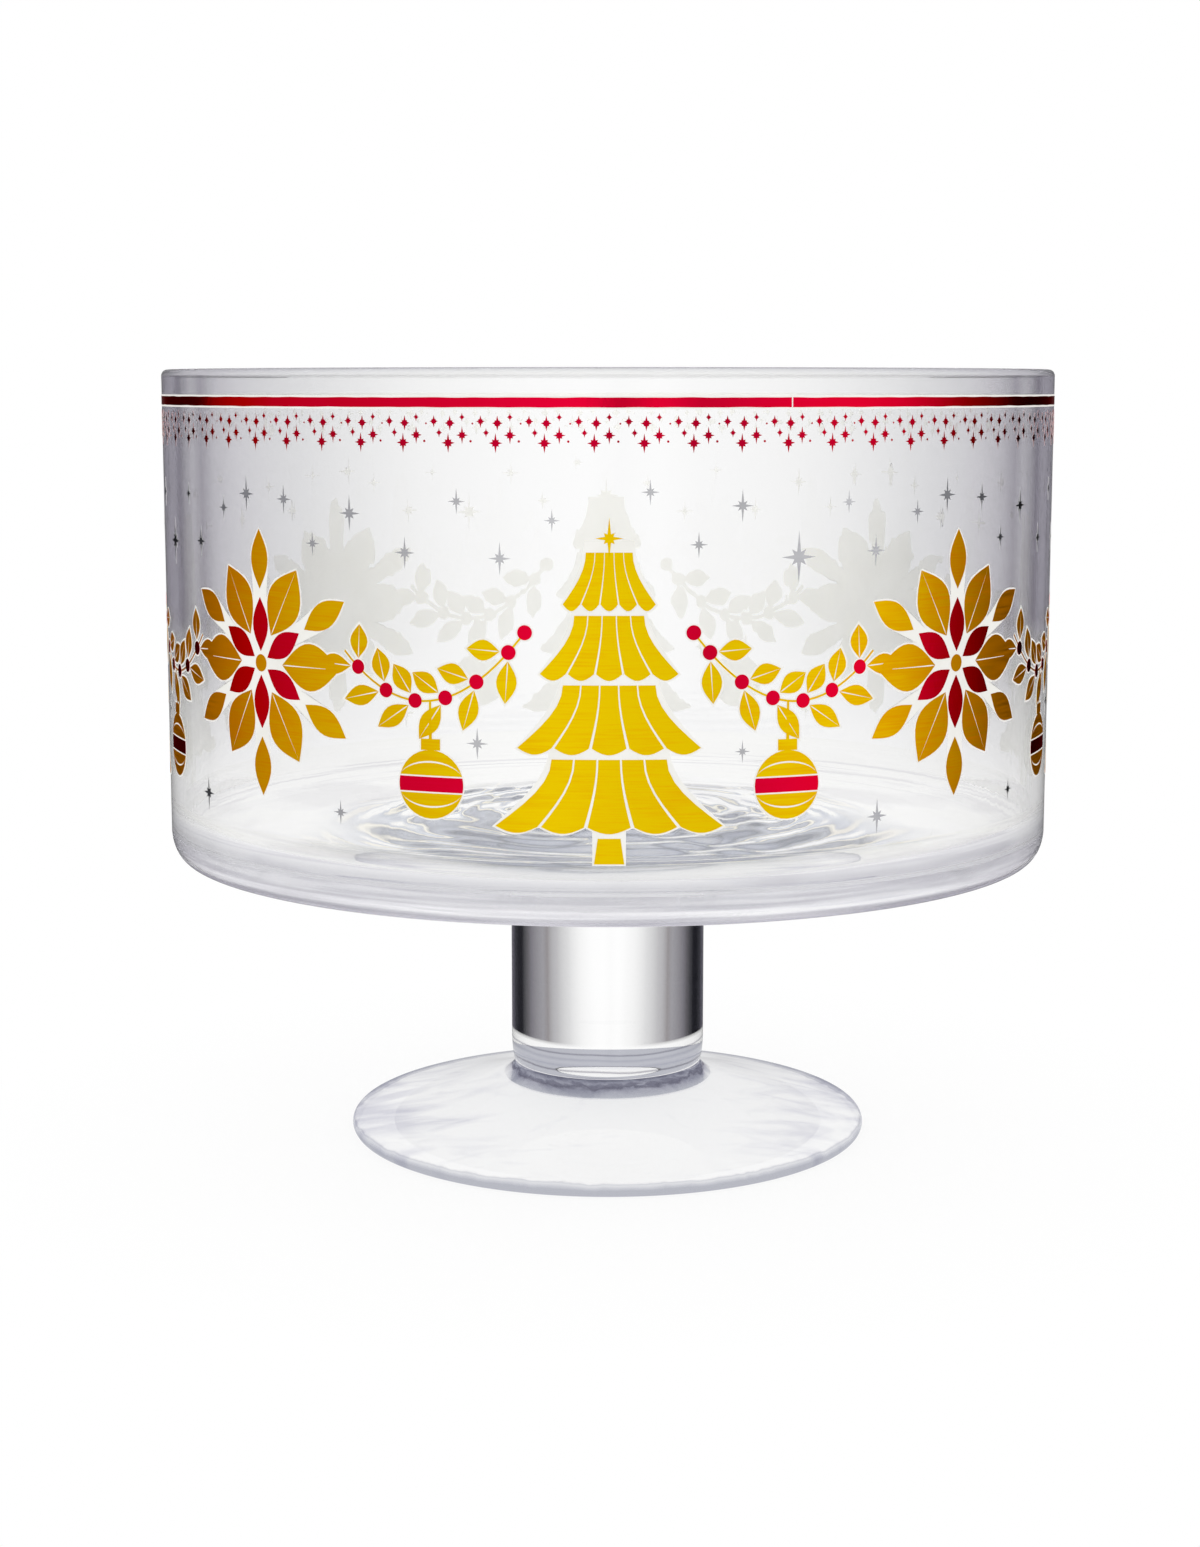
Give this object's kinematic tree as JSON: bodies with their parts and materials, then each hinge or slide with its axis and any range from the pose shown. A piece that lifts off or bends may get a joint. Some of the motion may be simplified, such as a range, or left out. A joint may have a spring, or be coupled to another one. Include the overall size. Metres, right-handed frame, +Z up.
{
  "type": "footed glass trifle bowl",
  "caption": "Straight-sided clear glass serving bowl on a solid glass stem and domed round foot, with a gold, red and silver printed winter frieze.",
  "frame": {"origin": "centre of the flat ring that the foot stands on", "axes": "+Z up along the axis of the bowl, stem and foot; the middle of the front is at -Y"},
  "size_m": [0.2202, 0.2202, 0.1934],
  "materials": {
    "clear_glass": "clear polished soda-lime glass",
    "white_print": "matt white ceramic transfer ink",
    "gold_foil": "bright brushed gold foil",
    "red_foil": "bright metallic red foil",
    "silver_foil": "bright silver foil"
  },
  "bodies": {
    "root": {"bowl": "clear_glass", "stem": "clear_glass", "foot": "clear_glass", "white_print": "white_print", "rim_stripe": "red_foil", "star_border": "red_foil", "silver_stars": "silver_foil", "gold_trees": "gold_foil", "gold_flowers": "gold_foil", "red_flowers": "red_foil", "gold_baubles": "gold_foil", "red_bauble_bands": "red_foil", "gold_garlands": "gold_foil", "red_beads": "red_foil"}
  },
  "joints": []
}
